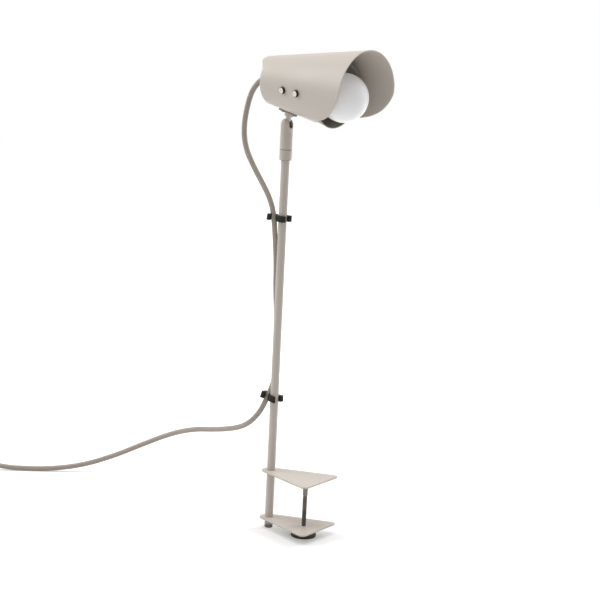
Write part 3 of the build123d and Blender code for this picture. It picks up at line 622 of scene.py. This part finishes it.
def scoop_place(radius, angle):
    """How far along the hood the scooped rim lies, between its lines on the right and on the left."""
    height = radius * np.cos(angle) / hood_radius(hood_length)
    right, left = eased(height, scoop_heights, scoop_right), eased(height, scoop_heights, scoop_left)
    return hood_length * (right + (left - right) * (radius * np.sin(angle) / scoop_half + 1) / 2)


def front_rim(angle):
    """Where the cone meets the scoop, found by halving."""
    low, high = np.full_like(angle, hood_length / 5), np.full_like(angle, hood_length)
    for _ in range(40):
        middle = (low + high) / 2
        beyond = middle > scoop_place(hood_radius(middle), angle)
        low, high = np.where(beyond, low, middle), np.where(beyond, middle, high)
    return high


def rear_rim(angle):
    """The rear edge with its tongue on top: flat, round at the corners and slanted to its root."""
    side = np.abs(hood_rear_radius * np.sin(angle))
    drop = np.sqrt(np.maximum(tongue_corner**2 - (side - tongue_flat)**2, 0))
    corner = tongue_corner - tongue_length - drop
    slant = -tongue_length * (tongue_root - side) / tongue_taper
    edge = np.where(side < tongue_flat, -tongue_length, np.where(side < tongue_bend, corner, slant))
    return np.where((np.cos(angle) > 0) & (side < tongue_root), edge, 0)


def hood_mesh():
    angle = np.linspace(0, 2 * pi, hood_around, endpoint=False)
    back, front = rear_rim(angle), front_rim(angle)
    points = []
    for k in range(hood_along + 1):
        place = back + (front - back) * k / hood_along
        radius = hood_radius(place)
        points += list(zip(place, radius * np.sin(angle), radius * np.cos(angle)))
    mesh = mesh_of("hood_shell", points, ring_faces(hood_along + 1, hood_around, inward=True))
    mesh.transform(head_place)
    mesh.shade_smooth()
    mesh.materials.append(paint)
    return mesh


def break_edges(piece, width):
    """Rounds a piece's sharp edges."""
    rounding = piece.modifiers.new("broken_edge", "BEVEL")
    rounding.width = width
    rounding.segments = 2
    rounding.limit_method = "ANGLE"
    rounding.angle_limit = radians(50)


hood_shell = put_in_scene("hood_shell", hood_mesh())
wall = hood_shell.modifiers.new("sheet", "SOLIDIFY")
wall.thickness = hood_sheet
wall.offset = -1
wall.use_even_offset = True
break_edges(hood_shell, hood_edge)
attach(hood_shell, "head")
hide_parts("hood")

# The inner cup: a thin cone with a closed back inside the hood, painted darker. It hangs from four
# side screws, each through a spacer into a nut inside the cup. Their heads are bright on the face,
# with a painted dark reflection round the side.
cup_colour = (0.27, 0.243, 0.21, 1)
side_screw_places = (0.0438, 0.0687)
side_screw_angle = 98.4
side_head_radius = 0.0044
side_head_height = 0.0031
side_face_colour = (0.52, 0.49, 0.45, 1)
side_flank_painted_reflection = 0.08


def painted_flank_reflection_group():
    """Paints a dark reflection onto a colour where a piece isn't marked as a flat face."""
    tree, given, out = effect_group("painted_flank_reflection", [("Shade", "Float", 0.1)])
    face = add_node(tree, "ShaderNodeAttribute", attribute_name="flat_face").outputs["Fac"]
    tree.links.new(shaded(tree, given["Colour"], ranged(tree, face, given["Shade"], 1.0)), out["Colour"])
    return tree


cup_paint = coated("cup_paint", cup_colour)
side_steel = bare_metal("side_screw_steel", side_face_colour, [
    (painted_flank_reflection_group(), {"Shade": side_flank_painted_reflection})])
side_spots = [on_hood(place, angle, 0) for place in side_screw_places
              for angle in (side_screw_angle, -side_screw_angle)]
side_head = key_head("side_head", key_share=0.3, key_depth=0.08, round_share=0.2)
side_heads = heads_at("side_screw_heads", side_spots, side_head,
                      side_head_radius, side_head_height, side_steel)
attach(side_heads, "head")
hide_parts("side_screws")
dress(cup_paint, "inner_cup")
dress(bright_steel, "side_spacers", "screw_nuts")

# The lamp holder: a white insulating body on a nipple through the cup, with a brass contact. The
# bulb is opal glass on an aluminium screw cap, with a black glass base. The opal has a faint glow of
# painted light, standing in for the light that passes through its wall.
brass_colour = (0.62, 0.42, 0.17, 1)
cap_colour = (0.66, 0.66, 0.66, 1)
opal_colour = (0.86, 0.86, 0.87, 1)
opal_painted_glow = 0.13
black_glass_colour = (0.02, 0.02, 0.024, 1)

brass = bare_metal("plain_brass", brass_colour)
cap_metal = bare_metal("bulb_cap_metal", cap_colour)
opal = finish("opal_glass", powder_coat, {
    "Colour": opal_colour, "Grain": 400.0, "Cloud": 25.0, "Gloss Low": 0.26, "Gloss High": 0.34}, 0.02,
    emission_color=(1, 1, 1, 1), emission_strength=opal_painted_glow)
black_glass = plastic("black_glass", black_glass_colour, 0.03, (0.12, 0.2))
dress(white_plastic, "lamp_holder")
dress(brass, "holder_contact")
dress(cap_metal, "bulb_cap")
dress(black_glass, "bulb_base")
dress(opal, "bulb_globe")

# The cord's fittings: a tapered bushing that the cord leaves the hood by, in the cord's colour, and
# two moulded black clips. Each has a jaw round the post and a jaw round the cord, with thick lips at
# the mouths to press it open by, and slants a little as the cord pulls it.
cord_colour = (0.45, 0.395, 0.345, 1)
black_plastic_colour = (0.012, 0.0105, 0.008, 1)
clip_right = Vector((0.824, 0.567, 0))
clip_front = Vector((0.5666, -0.824, 0))
clip_height = 0.0076
clip_edge = 0.0006
# Each jaw has an inner and an outer radius, and each mouth and lip a first and a last angle in degrees.
post_jaw = (0.00535, 0.0083)
post_mouth = (-8, 14)
post_lip = (0.0088, 0.0019)
post_lip_radius = 0.0026
post_lip_turn = (-50, 165)
cord_jaw = (0.0035, 0.0062)
cord_mouth = (-190, 178)
cord_lip_radius = 0.0028
cord_lip_turn = (0, 215)
# Places are to the right of the post's axis and to its front. The tip is the post's other lip, and the
# slant is to the left and to the right.
clips = (
    {"height": 0.3264, "cord": (-0.0110, -0.0036), "lip": (-0.0171, -0.0010), "tip": 62,
     "lean": (0.13, -0.03), "slant": (-0.10, 0.09)},
    {"height": 0.0952, "cord": (-0.0091, -0.0050), "lip": (-0.0146, -0.0018), "tip": 80,
     "lean": (0.30, -0.20), "slant": (-0.32, 0.16)})


def arc(middle, radius, start, end, step=9):
    """Points round a middle from one angle to another, in degrees."""
    count = max(3, round(abs(end - start) / step))
    angles = [radians(start + (end - start) * k / count) for k in range(count + 1)]
    return [(middle[0] + radius * cos(a), middle[1] + radius * sin(a)) for a in angles]


def crossing(radius, other_radius, distance):
    """Half the angle, from the first middle, that the meeting points of two circles lie apart."""
    return degrees(acos((distance**2 + radius**2 - other_radius**2) / (2 * distance * radius)))


def clip_outline(clip):
    """The clip from above: round the outside, over the post's lips and bore, and into the cord's jaw."""
    axis, cord, tip_angle = (0, 0), clip["cord"], clip["tip"]
    away, bearing = Vector(cord).length, degrees(atan2(cord[1], cord[0])) % 360
    post_in, post_out = post_jaw
    cord_in, cord_out = cord_jaw
    tip_reach = (post_in + post_out) / 2
    tip = (tip_reach * cos(radians(tip_angle)), tip_reach * sin(radians(tip_angle)))
    return (arc(axis, post_out, bearing + crossing(post_out, cord_out, away) - 360, post_mouth[0])
            + arc(post_lip, post_lip_radius, *post_lip_turn)
            + arc(axis, post_in, post_mouth[1], tip_angle - 360)
            + arc(tip, (post_out - post_in) / 2, tip_angle + 180, tip_angle)[1:-1]
            + arc(axis, post_out, tip_angle, bearing - crossing(post_out, cord_in, away))
            + arc(cord, cord_in, bearing - 180 + crossing(cord_in, post_out, away), cord_mouth[0])
            + arc(clip["lip"], cord_lip_radius, *cord_lip_turn)
            + arc(cord, cord_out, cord_mouth[1], bearing + 180 - crossing(cord_out, post_out, away)))


def clip_points(clip, outline):
    """The outline at the clip's underside and at its top, slanted, and leaning towards the cord."""
    left_slant, right_slant = clip["slant"]
    points = []
    for rise in (-clip_height / 2, clip_height / 2):
        for right, front in outline:
            share = min(max(right / clip["cord"][0], 0), 1)
            up = clip["height"] + rise + right * (left_slant if right < 0 else right_slant)
            right_lean, front_lean = (lean * rise * share for lean in clip["lean"])
            place = clip_right * (right + right_lean) + clip_front * (front + front_lean)
            points.append(Vector((post_place, 0, up)) + place)
    return points


def clips_mesh():
    points, faces = [], []
    for clip in clips:
        outline = clip_outline(clip)
        first, count = len(points), len(outline)
        points += clip_points(clip, outline)
        faces += ring_faces(2, count, first)
        top = first + count
        faces += [tuple(reversed(range(first, top))), tuple(range(top, top + count))]
    mesh = mesh_of("snap_clips", points, faces)
    mesh.materials.append(black_plastic)
    return mesh


cord_plastic = plastic("cord_plastic", cord_colour, 0.12)
black_plastic = plastic("black_plastic", black_plastic_colour, 0.15, (0.45, 0.6), specular_ior_level=0.25)
dress(cord_plastic, "cord_bushing")
snap_clips = put_in_scene("snap_clips", clips_mesh())
break_edges(snap_clips, clip_edge)
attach(snap_clips, "stand")
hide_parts("cord_clips")

# The cord: a round lead of 6.8 mm with a woven textile sleeve. It leaves the hood in a free loop to
# the upper clip, runs down behind the post to the lower clip, and lies down to the left to its switch.
cord_diameter = 0.0068
cord_sides = 20
braid_strands = 9
braid_pitch = 0.0085
braid_bump = 0.5
braid_depth = 0.00025
head_route = [
    (-0.06760, 0.00118, 0.50038), (-0.07929, 0.00223, 0.50209), (-0.09521, 0.0039, 0.49865),
    (-0.10908, 0.0049, 0.48746), (-0.11842, 0.0057, 0.47108), (-0.12212, 0.0062, 0.45363)]
loop_route = [
    (-0.12212, 0.0062, 0.45363), (-0.12607, 0.00673, 0.43497), (-0.12044, 0.0052, 0.40794),
    (-0.10475, 0.0028, 0.38618), (-0.08779, 0.0002, 0.36691), (-0.0757, -0.0019, 0.35254),
    (-0.0683, -0.0034, 0.3390), (-0.06585, -0.00344, 0.3280), (-0.06489, -0.00254, 0.3180)]
long_route = [
    (-0.06489, -0.00254, 0.3180), (-0.0645, -0.00117, 0.3070), (-0.06411, 0.00091, 0.2899),
    (-0.06367, 0.00328, 0.2661), (-0.06344, 0.00417, 0.2380), (-0.06246, 0.00593, 0.2120),
    (-0.06091, 0.00773, 0.1850), (-0.06055, 0.0081, 0.1550), (-0.06115, 0.00756, 0.1310),
    (-0.06159, 0.00678, 0.1160), (-0.06315, 0.00376, 0.1060), (-0.06481, -0.00054, 0.0970),
    (-0.06799, -0.00297, 0.0865), (-0.0743, -0.0031, 0.0752),
    (-0.0839, -0.0014, 0.0645), (-0.0986, 0.0049, 0.0532), (-0.1210, 0.0174, 0.0420),
    (-0.1512, 0.0330, 0.0310), (-0.1895, 0.0516, 0.0195), (-0.2313, 0.0665, 0.0092),
    (-0.2765, 0.0767, -0.0070), (-0.3218, 0.0711, -0.0300), (-0.3587, 0.0506, -0.0510),
    (-0.3927, 0.0223, -0.0655), (-0.4244, -0.0074, -0.0706), (-0.4529, -0.0312, -0.0706),
    (-0.4697, -0.0440, -0.0696), (-0.4801, -0.0517, -0.0674), (-0.4891, -0.0581, -0.0670)]


def cord_line(name, route):
    """The points of a smooth NURBS line through a cord's route, as Blender draws it."""
    curve = bpy.data.curves.new(name, "CURVE")
    curve.dimensions = "3D"
    curve.resolution_u = 8
    spline = curve.splines.new("NURBS")
    spline.points.add(len(route) - 1)
    for point, place in zip(spline.points, route):
        point.co = (*place, 1)
    spline.order_u = 3
    spline.use_endpoint_u = True
    drawn = put_in_scene(name, curve)
    mesh = bpy.data.meshes.new_from_object(drawn.evaluated_get(bpy.context.evaluated_depsgraph_get()))
    points = [v.co.copy() for v in mesh.vertices]
    bpy.data.objects.remove(drawn)
    bpy.data.meshes.remove(mesh)
    return points


def run_lengths(points):
    """How far along a line each of its points is."""
    gone = [0.0]
    for a, b in zip(points, points[1:]):
        gone.append(gone[-1] + (b - a).length)
    return gone


def cord_tube(name, points, material):
    """A round tube along a line, with a UV map: once round across, metres along."""
    ends = [points[0], *points, points[-1]]
    ways = [(after - before).normalized() for before, after in zip(ends, ends[2:])]
    angles = [2 * pi * j / cord_sides for j in range(cord_sides)]
    across, before = ways[0].orthogonal().normalized(), ways[0]
    tube = []
    for point, way in zip(points, ways):
        across = before.rotation_difference(way) @ across
        across = (across - way * across.dot(way)).normalized()
        before = way
        other = way.cross(across)
        tube += [point + (across * cos(a) + other * sin(a)) * (cord_diameter / 2) for a in angles]
    last = len(tube) - cord_sides
    caps = [tuple(reversed(range(cord_sides))), tuple(range(last, last + cord_sides))]
    mesh = mesh_of(name, tube, ring_faces(len(points), cord_sides) + caps)
    gone = run_lengths(points)
    spots = []
    for low, high in zip(gone, gone[1:]):
        for j in range(cord_sides):
            a, b = j / cord_sides, (j + 1) / cord_sides
            spots += [(a, low), (b, low), (b, high), (a, high)]
    spots += [(0.0, gone[0])] * cord_sides + [(0.0, gone[-1])] * cord_sides
    mesh.uv_layers.new(name="sleeve").data.foreach_set("uv", [x for spot in spots for x in spot])
    mesh.shade_smooth()
    mesh.set_sharp_from_angle(angle=radians(60))
    mesh.materials.append(material)
    return put_in_scene(name, mesh)


def woven_sleeve():
    """Two sets of strands wound against each other, over and under, with a slight fleck. The colour is
    painted darker in the hollows of the weave, as shade.
    """
    material, tree = empty_material("woven_sleeve")
    across, along, _ = add_node(tree, "ShaderNodeSeparateXYZ", [
        (0, add_node(tree, "ShaderNodeUVMap").outputs[0])]).outputs
    round_turn = value_math(tree, "MULTIPLY", across, 2 * pi * braid_strands)
    along_turn = value_math(tree, "MULTIPLY", along, 2 * pi * braid_strands / braid_pitch)
    one_way = value_math(tree, "SINE", value_math(tree, "ADD", round_turn, along_turn))
    other_way = value_math(tree, "SINE", value_math(tree, "SUBTRACT", round_turn, along_turn))
    weave = value_math(tree, "MULTIPLY", one_way, other_way)
    height = value_math(tree, "MULTIPLY_ADD", weave, 0.5, 0.5)
    place = add_node(tree, "ShaderNodeTexCoord").outputs["Object"]
    fleck = noise(tree, place, 700.0, 2.0)
    cloud = noise(tree, place, 30.0, 2.0)
    shade = value_math(tree, "MULTIPLY", ranged(tree, height, 0.86, 1.08), ranged(tree, fleck, 0.9, 1.1))
    shade = value_math(tree, "MULTIPLY", shade, ranged(tree, cloud, 0.95, 1.05))
    relief = add_node(tree, "ShaderNodeBump", [
        ("Strength", braid_bump), ("Distance", braid_depth), ("Height", height)])
    surface = add_node(tree, "ShaderNodeBsdfPrincipled", [
        ("Base Color", shaded(tree, cord_colour[:3], shade)), ("Roughness", ranged(tree, fleck, 0.72, 0.9)),
        ("Normal", relief.outputs[0]), ("Specular IOR Level", 0.3)])
    add_node(tree, "ShaderNodeOutputMaterial", [("Surface", surface.outputs[0])])
    return material


sleeve = woven_sleeve()
for name, route, bodies, replaced in (
        ("cord_to_barrel", head_route, ("head", "barrel"), "cord_head"),
        ("cord_to_clip", loop_route, ("barrel", "stand"), "cord_loop")):
    line = cord_line(name + "_line", route)
    piece = cord_tube(name, line, sleeve)
    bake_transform(piece)
    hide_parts(replaced)

line = cord_line("cord_to_switch_line", long_route)
cord_to_switch = cord_tube("cord_to_switch", line, sleeve)
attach(cord_to_switch, "stand")
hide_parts("cord_post", "cord_lower")

# The cord switch: two moulded halves in the cord's colour that lie on the table, with a rocker in
# the same plastic that tips on a steel pin.
dress(cord_plastic, "switch_base", "switch_cover", "switch_rocker")
dress(bright_steel, "rocker_pin")

# The put-away end of the cord: four turns wound flat, two layers of two, held by a black strap, and
# a flat plug of the cord's colour with two bright pins lying beside it.
lead_ahead = Vector((-0.814955, -0.579524, 0))
switch_end = 0.074
coil_entry = 0.116
coil_middle = (0.1228, -0.0392)
coil_radii = (0.0392, 0.03565, 0.0321, 0.02695)
coil_low = 0.0034
coil_high = 0.0105
coil_steps = 8
# The way down from the switch and the way to the plug, as places along the lead and heights
way_down = ((0, 0.007), (0.010, 0.0069), (0.021, 0.0049), (0.032, 0.0035), (0.042, coil_low))
way_to_plug = ((0, coil_high), (0.007, 0.01035), (0.014, 0.009), (0.021, 0.00725), (0.028, 0.00685))
strap_width = 0.009
strap_sheet = 0.0004
strap_inner = 0.0256
strap_outer = 0.0412
strap_round = 0.0032

lead_left = Vector((-lead_ahead.y, lead_ahead.x, 0))
lead_turn = Matrix((lead_ahead, lead_left, Vector((0, 0, 1)))).transposed().to_4x4()
lead_place = Matrix.Translation((*long_route[-1][:2], floor_height)) @ lead_turn


def tail_points():
    """From the switch down to the table, in and out again round the coil, and on to the plug."""
    ends = [(r, coil_low) for r in coil_radii] + [(r, coil_high) for r in reversed(coil_radii)]
    points = [(switch_end + x, 0, z) for x, z in way_down]
    for k, ((r0, z0), (r1, z1)) in enumerate(zip(ends, ends[1:])):
        side = 1 if k % 2 == 0 else -1
        radius = (r0 + r1) / 2 / cos(pi / coil_steps / 2)
        middle = coil_middle[1] + side * (r0 - r1) / 2
        for j in range(coil_steps):
            share = (j + 0.5) / coil_steps
            turn = pi * share
            points.append((coil_middle[0] + side * radius * sin(turn), middle + side * radius * cos(turn),
                           z0 + (z1 - z0) * share))
    far = coil_middle[1] - coil_radii[0]
    points += [(coil_entry - x, far, z) for x, z in way_to_plug]
    return [lead_place @ Vector(p) for p in points]


def strap_mesh():
    """A flat band round the four cords of the coil, with round corners."""
    low, high = strap_sheet + strap_round, coil_high + cord_diameter / 2 - strap_round
    near, far = strap_inner + strap_round, strap_outer - strap_round
    corners = ((far, high), (near, high), (near, low), (far, low))
    loop = [spot for k, corner in enumerate(corners)
            for spot in arc(corner, strap_round, 90 * k, 90 * k + 90, step=15)]
    points = [(coil_middle[0] + x, coil_middle[1] + side * strap_width / 2, z)
              for side in (-1, 1) for x, z in loop]
    mesh = mesh_of("coil_strap", points, ring_faces(2, len(loop), inward=True))
    mesh.transform(lead_place)
    mesh.shade_smooth()
    mesh.materials.append(black_plastic)
    return mesh


tail_route = tail_points()
line = cord_line("cord_to_plug_line", tail_route)
cord_to_plug = cord_tube("cord_to_plug", line, sleeve)
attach(cord_to_plug, "stand")
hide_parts("cord_link", "cord_coil", "cord_tail")
coil_strap = put_in_scene("coil_strap", strap_mesh())
band = coil_strap.modifiers.new("band", "SOLIDIFY")
band.thickness = strap_sheet
band.offset = 1
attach(coil_strap, "stand")
dress(cord_plastic, "plug_body")
dress(bright_steel, "plug_pins")

bpy.context.view_layer.update()
